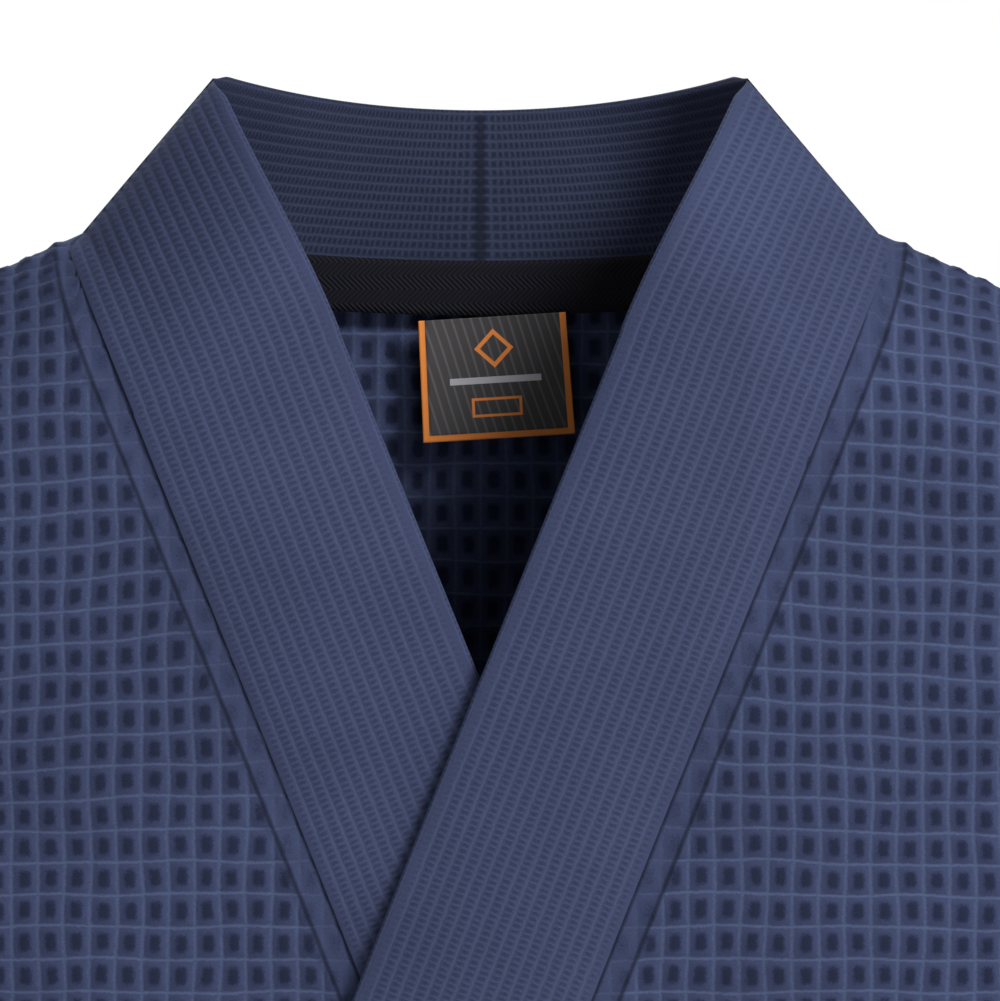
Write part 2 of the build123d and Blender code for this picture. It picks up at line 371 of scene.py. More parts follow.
def cotton(name, cell, pocket, field, ridge, line=(0.30, 0.16), hole=(0.25, 0.15), middle_lift=0.0,
           drawn_as=(0.6, 1.0), bump=0.4):
    """Waffle-woven cotton. cell is the weave's pitch in millimetres: the ridges get a painted
    highlight and the pockets a painted shade that starts at hole and that the argument after hole
    eases in each pocket's middle; drawn_as is how strongly each way's ridges get the painted
    highlight, and slub and slow clouds of wear vary it, with painted shade along sewn grooves."""
    def shader(tree, bsdf):
        def attribute(key):
            return node(tree, "ShaderNodeAttribute", attribute_name=key).outputs["Fac"]

        def noise(scale, detail, source):
            return node(tree, "ShaderNodeTexNoise",
                        {"Vector": source, "Scale": scale, "Detail": detail}).outputs["Fac"]

        def spread(value, low, high, to_low, to_high):
            return node(tree, "ShaderNodeMapRange",
                        {"Value": value, "From Min": low, "From Max": high, "To Min": to_low,
                         "To Max": to_high}, interpolation_type="SMOOTHSTEP").outputs[0]

        uv = node(tree, "ShaderNodeUVMap", uv_map="cloth").outputs[0]
        place = node(tree, "ShaderNodeTexCoord").outputs["Object"]
        slub, fluff = noise(1700.0, 3.0, place), noise(500.0, 3.0, place)
        cloud = noise(16.0, 4.0, place)
        parts = node(tree, "ShaderNodeSeparateXYZ", {0: uv})
        stray = math_node(tree, "MULTIPLY", math_node(tree, "SUBTRACT", fluff, 0.5), 0.0011)
        near = []
        for axis in (0, 1):
            wander = math_node(tree, "ADD", parts.outputs[axis], stray)
            half = cell[axis] * MM / 2
            near.append(math_node(tree, "DIVIDE", math_node(tree, "PINGPONG", wander, half), half))
        # Painted highlight on the ridges, its strength set for each way, for the light that the
        # raised yarns catch
        drawn = math_node(tree, "MAXIMUM", spread(near[0], 0.0, line[0], drawn_as[0], 0.0),
                          spread(near[1], 0.0, line[1], drawn_as[1], 0.0))
        speck = math_node(tree, "MULTIPLY", math_node(tree, "SUBTRACT", slub, 0.5), 1.5)
        # Painted shade in the pockets of the weave, eased in each pocket's middle
        pocket_shade = math_node(tree, "MULTIPLY", spread(near[0], hole[0], hole[0] + 0.62, 0.0, 1.0),
                           spread(near[1], hole[1], hole[1] + 0.60, 0.0, 1.0))
        middle = spread(math_node(tree, "MINIMUM", near[0], near[1]), 0.55, 0.85, 1.0, 1 - middle_lift)
        pocket_shade = math_node(tree, "MULTIPLY", math_node(tree, "MULTIPLY", pocket_shade, middle),
                           attribute("weave"))
        level = math_node(tree, "SUBTRACT", math_node(tree, "MULTIPLY", drawn, attribute("weave")),
                          pocket_shade)
        level = math_node(tree, "MULTIPLY", math_node(tree, "ADD", level, 1.0), 0.5)
        level = math_node(tree, "ADD", level, math_node(tree, "MULTIPLY", speck, 0.4), clamp=True)
        # Pocket colour is painted shade, ridge colour painted highlight, field the cloth's own
        # colour
        base = mix_color(tree, spread(level, 0.0, 0.5, 0.0, 1.0), (*pocket, 1), (*field, 1))
        base = mix_color(tree, spread(level, 0.5, 1.0, 0.0, 1.0), base, (*ridge, 1))
        # Painted shade along sewn grooves and under the collar's edge, from the groove attribute,
        # times slow clouds of wear
        sewn = math_node(tree, "ABSOLUTE", attribute("groove"))
        wear_and_groove_shade = math_node(tree, "MULTIPLY", spread(cloud, 0.3, 0.7, 0.92, 1.08),
                         spread(sewn, 0.1, 1.3, 0.4, 1.0))
        final = node(tree, "ShaderNodeVectorMath", {0: base}, operation="SCALE")
        tree.links.new(wear_and_groove_shade, final.inputs["Scale"])
        tree.links.new(final.outputs[0], bsdf.inputs["Base Color"])
        tree.links.new(spread(slub, 0.0, 1.0, 0.8, 1.0), bsdf.inputs["Roughness"])
        bsdf.inputs["Specular IOR Level"].default_value = 0.12
        bsdf.inputs["Sheen Weight"].default_value = 0.15
        bsdf.inputs["Sheen Roughness"].default_value = 0.5
        bsdf.inputs["Sheen Tint"].default_value = (0.30, 0.38, 0.75, 1)
        height = math_node(tree, "ADD", math_node(tree, "MULTIPLY", drawn, 0.5),
                           math_node(tree, "ADD", slub, math_node(tree, "MULTIPLY", fluff, 0.8)))
        relief = node(tree, "ShaderNodeBump",
                      {"Height": height, "Strength": bump, "Distance": 0.0006})
        tree.links.new(relief.outputs[0], bsdf.inputs["Normal"])
    return material(name, shader)


def twill(name, dark, light):
    """Herringbone tape: diagonal ribs that turn back every four millimetres."""
    def shader(tree, bsdf):
        uv = node(tree, "ShaderNodeUVMap", uv_map="cloth").outputs[0]
        parts = node(tree, "ShaderNodeSeparateXYZ", {0: uv})
        zig = math_node(tree, "PINGPONG", parts.outputs[1], 0.0045)
        slant = math_node(tree, "ADD", parts.outputs[0], zig)
        rib = math_node(tree, "PINGPONG", slant, 0.0009)
        height = math_node(tree, "DIVIDE", rib, 0.0009)
        tree.links.new(mix_color(tree, height, (*dark, 1), (*light, 1)), bsdf.inputs["Base Color"])
        bsdf.inputs["Roughness"].default_value = 0.85
        bsdf.inputs["Specular IOR Level"].default_value = 0.2
        relief = node(tree, "ShaderNodeBump", {"Height": height, "Strength": 0.6,
                                               "Distance": 0.0006})
        tree.links.new(relief.outputs[0], bsdf.inputs["Normal"])
    return material(name, shader)


def woven_label(name, ground, line, bright, border):
    """Charcoal ground with slanting wavy lines, a border on three sides and plain shapes."""
    def shader(tree, bsdf):
        uv = node(tree, "ShaderNodeUVMap", uv_map="cloth").outputs[0]
        parts = node(tree, "ShaderNodeSeparateXYZ", {0: uv})
        u, v = parts.outputs[0], parts.outputs[1]
        turned = node(tree, "ShaderNodeMapping", {"Vector": uv, "Rotation": (0, 0, 0.26)})
        wavy = node(tree, "ShaderNodeTexWave",
                    {"Vector": turned.outputs[0], "Scale": 105.0, "Distortion": 1.6,
                     "Detail": 0.0, "Detail Scale": 0.25}).outputs["Fac"]
        drawn = node(tree, "ShaderNodeMapRange",
                     {"Value": wavy, "From Min": 0.80, "From Max": 0.93}).outputs[0]
        base = mix_color(tree, drawn, (*ground, 1), (*line, 1))

        def away(value, middle):
            return math_node(tree, "ABSOLUTE", math_node(tree, "SUBTRACT", value, middle * MM))

        def inside(value, limit):
            return math_node(tree, "LESS_THAN", value, limit * MM)

        wide, tall = LABEL_SIZE

        def frame_of(value, outer, inner):
            return math_node(tree, "SUBTRACT", inside(value, outer), inside(value, inner))

        slant = math_node(tree, "ADD", away(u, wide / 2), away(v, 10.5))
        base = mix_color(tree, frame_of(slant, 6.5, 4.6), base, (*border, 1))
        bar = math_node(tree, "MULTIPLY", inside(away(u, wide / 2), 15), inside(away(v, 21), 1.1))
        base = mix_color(tree, bar, base, (*bright, 1))
        plate = math_node(tree, "MAXIMUM", away(u, wide / 2),
                          math_node(tree, "ADD", away(v, 30), 5.0 * MM))
        base = mix_color(tree, frame_of(plate, 8.2, 7.3), base, (*border, 1))
        side_rim = math_node(tree, "SUBTRACT", wide / 2 * MM, away(u, wide / 2))
        rim = math_node(tree, "MINIMUM", side_rim, math_node(tree, "SUBTRACT", tall * MM, v))
        base = mix_color(tree, inside(rim, LABEL_BORDER), base, (*border, 1))
        fine = node(tree, "ShaderNodeTexWave", {"Vector": uv, "Scale": 900.0, "Distortion": 0.5},
                    bands_direction="Y").outputs["Fac"]
        shade = node(tree, "ShaderNodeMapRange", {"Value": fine, "To Min": 0.84}).outputs[0]
        final = node(tree, "ShaderNodeVectorMath", {0: base}, operation="SCALE")
        tree.links.new(shade, final.inputs["Scale"])
        tree.links.new(final.outputs[0], bsdf.inputs["Base Color"])
        bsdf.inputs["Roughness"].default_value = 0.55
        relief = node(tree, "ShaderNodeBump", {"Height": fine, "Strength": 0.3,
                                               "Distance": 0.0002})
        tree.links.new(relief.outputs[0], bsdf.inputs["Normal"])
    return material(name, shader)


# In each cotton the first colour is painted shade for the pockets, the last painted highlight for
# the ridges, and the middle one the cloth's own colour
WAFFLE = cotton("waffle_cotton", BODY_CELL, (0.015, 0.020, 0.048), (0.045, 0.057, 0.122),
                (0.074, 0.099, 0.186))
COLLAR = cotton("collar_cotton", COLLAR_CELL, (0.031, 0.039, 0.086),
                (0.047, 0.058, 0.122), (0.060, 0.076, 0.150), line=(0.38, 0.55),
                hole=(0.2, 0.2), middle_lift=0.3, drawn_as=(0.9, 0.5))
# A darker copy of the collar cloth: painted shade for the collar inside the neck
COLLAR_PAINTED_SHADE = cotton("collar_painted_shade_cotton", COLLAR_CELL, (0.013, 0.016, 0.034),
                      (0.025, 0.031, 0.063), (0.040, 0.050, 0.096), line=(0.38, 0.55),
                      hole=(0.2, 0.2), middle_lift=0.3, drawn_as=(0.9, 0.5))
THREAD = cotton("stitching", (1.0, 1.0), (0.03, 0.04, 0.08), (0.045, 0.055, 0.11),
                (0.060, 0.072, 0.140), bump=0.5)
TAPE = twill("herringbone_tape", (0.004, 0.004, 0.007), (0.012, 0.012, 0.020))
LABEL = woven_label("woven_label", (0.045, 0.040, 0.041), (0.10, 0.10, 0.11),
                    (0.55, 0.55, 0.60), (1.0, 0.30, 0.04))


# ---------------------------------------------------------------- panels
def mirror(points, side):
    points = points.copy()
    points[..., 0] *= side
    return points


def press_grid(u, v, front):
    """Where flat cloth (u, v) lies in view, with its edges rolled back and its outline cut."""
    sign = 1.0 if front else np.sign(u)
    flat = u if front else np.abs(u)
    roll = HIDDEN * ramp(-v, -UNDERARM[1], 390)
    limit = side_x(np.minimum(v, SHOULDER_END[1]))
    cut = np.clip(flat, seam_x(v) - UNDERLAP if front else 0.0, limit + roll)
    rolled = limit - travel(limit + roll - cut)
    eased = cut - roll * ramp(cut, limit - 90, limit + roll)
    x = np.where(roll > HIDDEN * 0.999, rolled, eased)
    top = shoulder_z(x)
    spare = HIDDEN / SHOULDER_SLOPE
    length = (top + spare - np.minimum(v, top + spare)) * SHOULDER_SLOPE
    rolled_z = top - travel(length) / SHOULDER_SLOPE
    z = np.where(x > NECK[0], rolled_z, np.minimum(v, top))
    if front:
        x = np.maximum(x, seam_x(z) - UNDERLAP)
    return sign * x, z


def pressed(distance):
    """The weave is pressed flatter between a seam and its topstitch."""
    return 0.4 + 0.6 * ramp(distance, TOPSTITCH - 1.0, TOPSTITCH + 3.0)


def front_cloth(side):
    """One front from the collar seam to the side seam, fixed part and wing in one cloth."""
    outer = side > 0
    name = "left" if outer else "right"
    us = lines(BODY_CELL[0] * -2, HEM_CORNER[0] + HIDDEN + 9, BODY_CELL[0], 6, 4, 175)
    vs = -lines(-BODY_CELL[1] * 3, -HEM_CORNER[1], BODY_CELL[1], 6, 4, -NEAR_TOP)
    vs = np.maximum(vs, HEM_CORNER[1])
    u, v = np.meshgrid(us, vs)
    inside = ramp(v, HEM_CORNER[1], HEM_CORNER[1] + 15)
    lean = -0.075 * np.maximum(u - 60, 0) * ramp(v, -260, -90) * ramp(260 - u, 0, 60)
    x, z = press_grid(u + wobble(u, v, side, 0.8) * inside,
                      v + (wobble(v, u, 2 + side, 0.8) + lean) * inside, True)
    y = front_y(x, z, outer) + 0.5 * ease(x, z, 1.0 + side) * ramp(-z, 20, 80)
    seam = (x - seam_x(z)) / math.hypot(1, COLLAR_SLOPE)
    stitch = seam - TOPSTITCH 
    y = y - 0.45 * np.sin(z / 1.9 + 1.3 * np.sin(z / 11.0)) * mark(stitch, 4.0)
    arm = np.where(z > UNDERARM[1], side_x(z) - x, 99.0)
    hem = z - HEM_CORNER[1]
    weave = pressed(seam) * pressed(arm) * ramp(hem, 4, 30) * ramp(edge_distance(x, z), 0, 1.2)
    level = 1 + (waffle(u, v, BODY_CELL) - 1) * weave - 0.5 * mark(stitch, 1.5)
    # Painted shadow under the collar's edge and painted shade along the topstitch, hem stitch and
    # armhole topstitch
    groove = nearest(0.3 - seam, stitch, hem - HEM_STITCH, arm - TOPSTITCH)
    piece = build(f"{name}_front_cloth", mirror(stacked(x, y, z), side), np.stack([u, v], -1),
                  level, WAFFLE_DEPTH, WAFFLE, flip=side < 0, weave=weave,
                  groove=groove)
    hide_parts(f"{name}_front_side", f"{name}_front_wing")
    bend_front(piece)
    return piece


def bend_front(piece):
    """The piece's placement is baked into its mesh; the cloth is not turned over 40 mm on the open
    side of the fold line.
    """
    run = np.array([FOLD_BOTTOM[0] - FOLD_TOP[0], FOLD_BOTTOM[1] - FOLD_TOP[1]])
    run = run / np.linalg.norm(run)
    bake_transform(piece)


def back_cloth():
    half = lines(0, HEM_CORNER[0] + HIDDEN + 9, BODY_CELL[0], 4, 3, 140)
    vs = -lines(-BODY_CELL[1] * 3, -HEM_CORNER[1], BODY_CELL[1], 4, 3, -NEAR_TOP)
    u, v = np.meshgrid(np.concatenate([-half[:0:-1], half]), np.maximum(vs, HEM_CORNER[1]))
    inside = ramp(v, HEM_CORNER[1], HEM_CORNER[1] + 15)
    x, z = press_grid(u + wobble(u, v, 5, 0.7) * inside * ramp(np.abs(u), 0, 8),
                      v + wobble(v, u, 7, 0.7) * inside, False)
    y = bulge(x, z) + SEAM_GAP + drape(x, z, 40) + 0.6 * ease(x, z, 5.0) * ramp(-z, 30, 90)
    arm = np.where(z > UNDERARM[1], side_x(z) - np.abs(x), 99.0)
    hem = z - HEM_CORNER[1]
    weave = pressed(arm) * ramp(hem, 4, 30) * ramp(edge_distance(x, z), 0, 1.2)
    level = 1 + (waffle(u, v, BODY_CELL) - 1) * weave
    # Painted shade along the hem stitch and the armhole topstitch
    groove = nearest(hem - HEM_STITCH, arm - TOPSTITCH)
    piece = build("back_cloth", stacked(x, y, z), np.stack([u, v], -1), level, WAFFLE_DEPTH,
                  WAFFLE, flip=True, weave=weave, groove=groove)
    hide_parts("back_panel")
    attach(piece, "robe_body")


def collar_front(side):
    """The front half of a collar side: a doubled band from the crease to the hem."""
    outer = side > 0
    name = "left" if outer else "right"
    crease_x, crease_z = PEAK[0] - NECK[0], PEAK[1] - NECK[1]
    size = math.hypot(crease_x, crease_z)
    inward = (-crease_z / size, crease_x / size)

    heights = np.linspace(0, HEM_CORNER[1], 1200)
    rail_x = np.where(heights > -60, COLLAR_OFFSET + COLLAR_SLOPE * heights, seam_x(heights))
    run = np.concatenate([[0], np.cumsum(np.hypot(np.diff(rail_x), np.diff(heights)))])

    def unfolded(a, w):
        """The band before the crease cuts it: a along the seam, w across towards the free edge."""
        x0, z0 = np.interp(a, run, rail_x), np.interp(a, run, heights)
        rise = np.interp(a + 6, run, heights) - np.interp(a - 6, run, heights)
        slope = (np.interp(a + 6, run, rail_x) - np.interp(a - 6, run, rail_x)) / (rise - 1e-9)
        slope = COLLAR_SLOPE + (slope - COLLAR_SLOPE) * ramp(a, 60, 160)
        norm = np.hypot(1, slope)
        w = w * (1 - 0.08 * ramp(60 - a, 0, 90))
        above = np.minimum(a, 0)
        return x0 - (w + above * slope) / norm, z0 + (w * slope - above) / norm

    def short(x, z):
        return (x - NECK[0]) * inward[0] + (z - NECK[1]) * inward[1]

    climb = np.linspace(0, -60, 600)
    first = climb[np.argmin(np.abs(short(*unfolded(climb, COLLAR_WIDTH)) - 0.6))]

    def place(a, w):
        x, z = unfolded(a, w)
        move = np.maximum(0.5 - short(x, z), 0)
        return x + inward[0] * move, np.maximum(z + inward[1] * move, HEM_CORNER[1] - 1)

    wide = np.minimum(lines(0, COLLAR_WIDTH, COLLAR_CELL[0], 4, 4, 0), COLLAR_WIDTH)
    long = np.clip(lines(-COLLAR_CELL[0] * 12, run[-1], COLLAR_CELL[0], 4, 3, 330), first, run[-1])
    w, a = np.meshgrid(wide, long)
    x, z = place(a + wobble(a, w, side, 0.25), w)
    y = front_y(x, z, outer) - COLLAR_CROWN * crown(w / COLLAR_WIDTH) - COLLAR_STEP
    y = y + 0.25 * ease(x, z, 2.0 + side)
    level = fine_ridges(w)
    edge = np.minimum(w, COLLAR_WIDTH - w)
    weave = ramp(edge, 0.3, 3.0)
    level = 1 + (level - 1) * weave
    back_w = np.linspace(COLLAR_WIDTH, 2.0, 14)
    turn = np.linspace(0, math.pi, ROLL_ROWS + 2)[1:-1]
    cloth = stacked(x, y, z)
    uv, relief = np.stack([w, a], -1), level
    extra = []
    last = cloth[:, -1]
    out = last - cloth[:, -3]
    out[:, 1] = 0
    out /= np.maximum(np.linalg.norm(out, axis=1, keepdims=True), 1e-9)
    round_off = (ROLL_RADIUS * ramp(a[:, 0] - first, 0, 8))[:, None]
    for angle in turn:
        ring = last + out * round_off * math.sin(angle)
        ring = ring + np.array([0, ROLL_RADIUS * (1 - math.cos(angle)), 0])
        extra.append(ring)
    for width in back_w:
        bx, bz = place(a[:, 0], np.full(len(a), width))
        by = front_y(bx, bz, outer) - COLLAR_STEP + 2 * ROLL_RADIUS
        by = by + 0.3 * COLLAR_CROWN * crown(width / COLLAR_WIDTH)
        extra.append(np.stack([bx, by, bz], -1))
    extra = np.stack(extra, 1)
    cloth = np.concatenate([cloth, extra], 1)
    tail = np.linspace(COLLAR_WIDTH + 1, 2 * COLLAR_WIDTH, extra.shape[1])
    uv = np.concatenate([uv, np.stack(np.meshgrid(tail, a[:, 0]), -1)], 1)
    relief = np.concatenate([relief, np.full(extra.shape[:2], 0.75)], 1)
    weave = np.concatenate([weave, np.full(extra.shape[:2], 1.0)], 1)
    piece = build(f"{name}_collar_front_band", mirror(cloth, side), uv, relief, COLLAR_WAFFLE,
                  COLLAR, flip=side > 0, weave=weave)
    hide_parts(f"{name}_collar_front")
    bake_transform(piece)
    return piece


def collar_back(side):
    """Half of the collar behind the neck, from centre back to the crease."""
    name = "left" if side > 0 else "right"
    wide = np.minimum(lines(0, COLLAR_WIDTH, COLLAR_CELL[0], 4, 4, 0), COLLAR_WIDTH) / COLLAR_WIDTH
    long = lines(0, 147, COLLAR_CELL[0], 4, 4, 0)
    long = long / long[-1]
    t, f = np.meshgrid(wide, long)

    def place(f, t, skin):
        sx, sz = NECK[0] * f, BACK_SEAM_Z * (1 - f**2)
        ex, ez = PEAK[0] * f, BACK_EDGE_Z + (PEAK[1] - BACK_EDGE_Z) * f**2
        x, z = sx + (ex - sx) * t, sz + (ez - sz) * t
        return x, bulge(x, z) * (1 + COLLAR_LEAN * t) - skin, z

    x, y, z = place(f**0.8, t, 4.5)
    y = y - 0.8 * crown(t) * ramp(1 - f, 0, 0.15)
    u, v = t * COLLAR_WIDTH, f * 147
    level = fine_ridges(u)
    level = level - 0.9 * mark(v, 1.4)
    near = stacked(x, y, z)
    turn = np.linspace(0, math.pi, ROLL_ROWS + 2)[1:-1]
    top = near[:, -1]
    soft = (1 - ramp(f[:, 0], 0.93, 1.0))[:, None]
    rolls = [top + soft * np.array([0, 2.2 * (1 - math.cos(a)), ROLL_RADIUS * math.sin(a)])
             for a in turn]
    backs = []
    for back in wide[::-4]:
        bx, by, bz = place(f[:, 0] ** 0.8, np.full(len(f), back), 0.0)
        backs.append(np.stack([bx, by, bz], -1))
    extra = np.stack(rolls + backs, 1)
    cloth = np.concatenate([near, extra], 1)
    tail = np.linspace(COLLAR_WIDTH + 1, 2 * COLLAR_WIDTH, extra.shape[1])
    uv = np.concatenate([np.stack([u, v], -1), np.stack(np.meshgrid(tail, v[:, 0]), -1)], 1)
    relief = np.concatenate([level, np.full(extra.shape[:2], 0.75)], 1)
    # Painted shade along the centre-back seam
    groove = np.concatenate([v, np.full(extra.shape[:2], FAR)], 1)
    # The collar behind the neck takes the darker copy of the collar cloth, painted shade for the
    # inside of the neck
    piece = build(f"{name}_collar_back_band", mirror(cloth, side), uv, relief, COLLAR_WAFFLE,
                  COLLAR_PAINTED_SHADE, flip=side < 0, groove=groove)
    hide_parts(f"{name}_collar_neck")
    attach(piece, "robe_body")


def thicken(piece, thickness):
    solid = piece.modifiers.new("thickness", "SOLIDIFY")
    solid.thickness = thickness * MM
    solid.offset = -1


def sleeve_cloth(side):
    name = "left" if side > 0 else "right"
    length = math.dist(SHOULDER_END, CUFF_OUT)
    girth = 2 * (math.dist(CUFF_IN, CUFF_OUT) + 2 * HIDDEN * 0.6)
    around = lines(0, girth, BODY_CELL[0], 4, 4, 0)
    along = lines(0, length, BODY_CELL[1], 4, 4, 0)
    s, t = np.meshgrid(around / around[-1], along / along[-1])

    def place(s, t, out):
        inner = np.stack([UNDERARM[i] + (CUFF_IN[i] - UNDERARM[i]) * t for i in (0, 1)])
        first = [SHOULDER_END[i] + (SLEEVE_BEND[i] - SHOULDER_END[i]) * t for i in (0, 1)]
        second = [SLEEVE_BEND[i] + (CUFF_OUT[i] - SLEEVE_BEND[i]) * t for i in (0, 1)]
        outer = np.stack([first[i] + (second[i] - first[i]) * t for i in (0, 1)])
        across = 0.5 * (1 - np.cos(math.tau * s)) / 2 + 0.5 * (1 - np.abs(1 - 2 * s))
        edge = np.minimum(across, 1 - across) * np.hypot(*(outer - inner))
        x = inner[0] + (outer[0] - inner[0]) * across
        z = inner[1] + (outer[1] - inner[1]) * across
        near_end = ramp(t, 0.10, 0.30)
        tube = rounded(edge, SLEEVE_DEPTH)
        depth = tube * near_end + bulge(x, z) * (1 - near_end) + SEAM_GAP
        sag = 5.0 * np.sin(across * 9.0 + t * 7.0) * np.exp(-((across - 0.25) / 0.35) ** 2)
        sag = sag * ramp(t, 0.02, 0.2) * ramp(1 - t, 0.1, 0.5) * rounded(edge, 1.0)
        depth = depth + out + sag
        return x, np.where(s < 0.5, -depth, depth), z

    x, y, z = place(s, t, 0.0)
    u, v = s * around[-1], t * along[-1]
    weave = pressed(v)
    level = 1 + (waffle(u, v, BODY_CELL) - 1) * weave
    piece = build(f"{name}_sleeve_cloth", mirror(stacked(x, y, z), side), np.stack([u, v], -1),
                  level, WAFFLE_DEPTH, WAFFLE, flip=side > 0, weave=weave)
    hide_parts(f"{name}_sleeve")
    bend_sleeve(piece)

    band = np.linspace(1.003, 1 - CUFF_DEPTH / length, 90)
    s2, t2 = np.meshgrid(around / around[-1], band)
    x, y, z = place(s2, np.minimum(t2, 1.003), 2.6)
    u, v = s2 * around[-1], (1 - t2) * length
    edge = np.minimum(v + 2, CUFF_DEPTH - v)
    level = 1 + (waffle(u, v, BODY_CELL) - 1) * (0.3 + 0.7 * ramp(edge, 2, 6))
    cuff = build(f"{name}_cuff_band", mirror(stacked(x, y, z), side), np.stack([u, v], -1),
                 level, WAFFLE_DEPTH, WAFFLE, flip=side < 0)
    thicken(cuff, 2.2)
    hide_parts(f"{name}_cuff")
    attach(cuff, f"{name}_sleeve_tube")


def bend_sleeve(piece):
    """The piece's placement is baked into its mesh; the sleeve is not turned over beside the
    armhole.
    """
    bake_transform(piece)


def strip(name, points, uv, level, height, mat, thickness, flip=False):
    """A narrow doubled band with real thickness."""
    piece = build(name, points, uv, level, height, mat, flip=flip)
    thicken(piece, thickness)
    return piece


def neck_tape():
    s, t = np.meshgrid(np.linspace(-1, 1, 121), np.linspace(0, 1, 9))
    x = 118 * s
    z = BACK_SEAM_Z * (1 - (x / NECK[0]) ** 2) - 18 * t + 2.5
    y = bulge(x, z) - 5.2 - 0.6 * np.sin(math.pi * t)
    piece = strip("neck_tape_band", stacked(x, y, z), np.stack([x, z], -1), np.ones_like(x), 0,
                  TAPE, 0.9)
    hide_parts("neck_tape")
    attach(piece, "robe_body")


def neck_label():
    low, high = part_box("neck_label")
    mid = (low[0] + high[0]) / 2 / MM - 2.0
    top_z, y0 = high[2] / MM + 1.5, (low[1] + high[1]) / 2 / MM
    tilt = math.radians(3.5)
    wide, tall = LABEL_SIZE

    def placed(s, t, out):
        px, pz = (s - 0.5) * wide * (1 + 0.03 * t), -tall * t
        curl = 1.5 * np.sin(s * math.pi) - 2.0 * t * t
        return stacked(mid + px * math.cos(tilt) - pz * math.sin(tilt), y0 + curl - 1.5 - out,
                       top_z + px * math.sin(tilt) + pz * math.cos(tilt))

    s, t = np.meshgrid(np.linspace(0, 1, 90), np.linspace(0, 1, 70))
    u, v = s * wide, t * tall
    rim = np.minimum(np.minimum(u, wide - u), tall - v)
    level = 1 - 0.8 * ramp(rim, LABEL_BORDER - 0.3, LABEL_BORDER + 0.3)
    piece = strip("label_cloth", placed(s, t, 0), np.stack([u, v], -1), level, 0.35,
                  LABEL, 0.5)
    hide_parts("neck_label")
    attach(piece, "neck_label_flap")


def pocket(side):
    outer = side > 0
    name = "left" if outer else "right"
    left, right, bottom, top = 86.0, 226.0, -930.0, -760.0
    us = lines(left, right, BODY_CELL[0], 6, 6, 0)
    us = us[us <= right + 0.1]
    vs = lines(-top, -bottom, BODY_CELL[1], 6, 6, 0)
    u, v = np.meshgrid(us, -vs[vs <= -bottom + 0.1])
    edge = np.minimum(np.minimum(u - left, right - u), v - bottom)
    belly = ramp(edge, 0, 45) * (0.4 + 0.6 * ramp(v, bottom, top))
    y = front_y(u, v, outer) - 1.2 - 6.5 * belly - 1.5 * ramp(edge, 0, 3)
    level = 1 + (waffle(u, v, BODY_CELL) - 1) * (0.3 + 0.7 * ramp(edge, 3, 8))
    level -= 0.5 * mark(edge - 5, 1.1)
    piece = strip(f"{name}_pocket_cloth", mirror(stacked(u, y, v), side), np.stack([u, v], -1),
                  level, WAFFLE_DEPTH, WAFFLE,
                  1.6, flip=side < 0)
    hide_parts(f"{name}_pocket")
    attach(piece, f"{name}_front")
    t = np.linspace(0, 25, 26)
    u, drop = np.meshgrid(us, t)
    v = top - drop
    edge = np.minimum(u - left, right - u)
    belly = ramp(edge, 0, 45)
    y = front_y(u, v, outer) - 3.0 - 6.5 * belly - 1.5 * ramp(edge, 0, 3)
    level = fine_ridges(u)
    hem = strip(f"{name}_pocket_band", mirror(stacked(u, y, v), side), np.stack([u, v], -1),
                level, COLLAR_WAFFLE, COLLAR,
                2.0, flip=side < 0)
    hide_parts(f"{name}_pocket_hem")
    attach(hem, f"{name}_front")


def belt_weave(u, edge):
    """The belt's ridges, pressed flat at its edges, with a sewn line beside each edge."""
    level = 1 + (fine_ridges(u) - 1) * (0.2 + 0.8 * ramp(edge, 1, 4))
    return level - 0.6 * mark(edge - 3, 0.8)


def belt():
    low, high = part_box("belt_wrap")
    mid_z = (low[2] + high[2]) / 2 / MM
    width = (high[2] - low[2]) / MM
    side = 330.7
    s, t = np.meshgrid(np.linspace(-1.13, 1.13, 480), np.linspace(-0.5, 0.5, 29))
    angle = s * math.pi / 2
    x = (side + 4) * np.sin(angle)
    depth = rounded(side - np.abs(x), BODY_DEPTH, -4.0)
    y = np.where(np.cos(angle) < 0, -depth, depth) + 1.5 * np.sin(x / 80.0) ** 2
    z = mid_z + width * t - 3.0 * np.cos(np.clip(s, -1, 1) * math.pi / 2)
    u, v = s * 400, t * width
    edge = width / 2 - np.abs(v)
    level = belt_weave(u, edge)
    piece = strip("belt_wrap_strap", stacked(x, y, z), np.stack([u, v], -1), level, BAND_WAFFLE,
                  COLLAR, 2.2)
    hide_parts("belt_wrap")
    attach(piece, "robe_body")
    for sign in (1, -1):
        belt_tail(sign, width)
        belt_loop(sign)


def belt_tail(side, width):
    name = "left" if side > 0 else "right"
    low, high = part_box(f"{name}_belt_tail")
    mid_x = (low[0] + high[0]) / 2 / MM * side
    mid_y = (low[1] + high[1]) / 2 / MM
    top, bottom = high[2] / MM + 22, low[2] / MM
    s, t = np.meshgrid(np.linspace(-0.5, 0.5, 29), np.linspace(0, 1, 320))
    twist = math.pi / 4 + 0.35 * np.sin(t * 5.0) * ramp(t, 0.05, 0.4)
    gather = 1 - 0.35 * np.exp(-(t / 0.03) ** 2)
    x = mid_x + s * width * gather * np.cos(twist) + 3.0 * np.sin(t * 6.0) * t
    y = mid_y + s * width * gather * np.sin(twist) + 4.0 * np.sin(t * 4.0 + 1) * t
    z = top + (bottom - top) * t
    u, v = s * width, t * 580
    edge = np.minimum(width / 2 - np.abs(u), 580 - v + 1)
    level = belt_weave(u, edge)
    piece = strip(f"{name}_belt_tail_strap", mirror(stacked(x, y, z), side), np.stack([u, v], -1),
                  level, BAND_WAFFLE, COLLAR, 2.2, flip=side < 0)
    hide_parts(f"{name}_belt_tail")
    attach(piece, f"{name}_belt_end")


